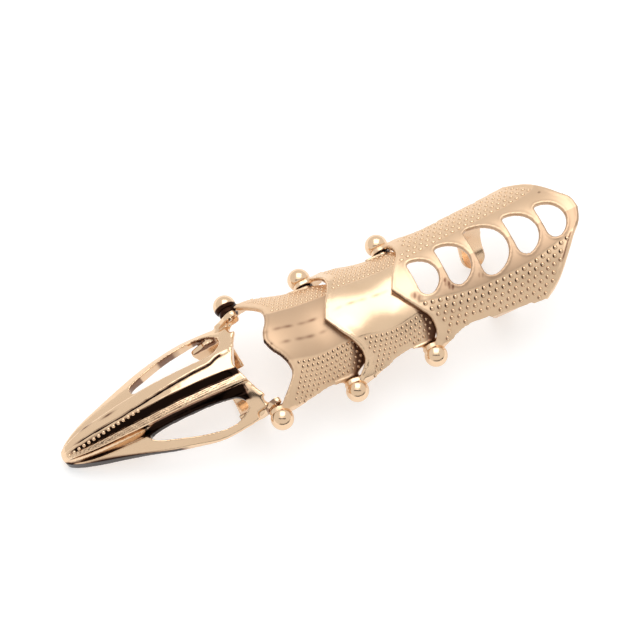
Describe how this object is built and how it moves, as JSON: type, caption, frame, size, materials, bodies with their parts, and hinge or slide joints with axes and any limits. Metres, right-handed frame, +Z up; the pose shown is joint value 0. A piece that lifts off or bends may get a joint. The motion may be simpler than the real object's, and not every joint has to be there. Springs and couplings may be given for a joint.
{
  "type": "articulated full-finger ring",
  "caption": "Full-finger armour ring: arched, beaded plates and an openwork fingertip claw, hinged at ball-headed rivets, with open bands for the finger.",
  "frame": {"origin": "middle of the bounding box on the surface that the ring lies on", "axes": "+X along the finger toward the knuckle end, -X toward the claw's tip, +Y across the finger to the side that is far in the picture, +Z up out of the back of the finger"},
  "size_m": [0.094, 0.0264, 0.0164],
  "materials": {
    "gold": "polished light gold plating with darkened hollows"
  },
  "bodies": {
    "knuckle": {"knuckle_plate": "gold", "knuckle_rivet_far": "gold", "knuckle_rivet_near": "gold"},
    "middle": {"middle_plate": "gold", "middle_rivet_far": "gold", "middle_rivet_near": "gold"},
    "front": {"front_plate": "gold", "front_rivet_far": "gold", "front_rivet_near": "gold"},
    "claw": {"claw": "gold"}
  },
  "joints": [
    {"name": "knuckle_hinge", "type": "hinge", "parent": "knuckle", "child": "middle", "pos_m": [0.01533, 0, 0.0085], "axis": [0, -1, 0], "range_deg": [0, 70]},
    {"name": "middle_hinge", "type": "hinge", "parent": "middle", "child": "front", "pos_m": [0.00094, 0, 0.00789], "axis": [0, -1, 0], "range_deg": [0, 70]},
    {"name": "claw_hinge", "type": "hinge", "parent": "front", "child": "claw", "pos_m": [-0.01266, 0, 0.00947], "axis": [0, -1, 0], "range_deg": [-15, 50]}
  ]
}
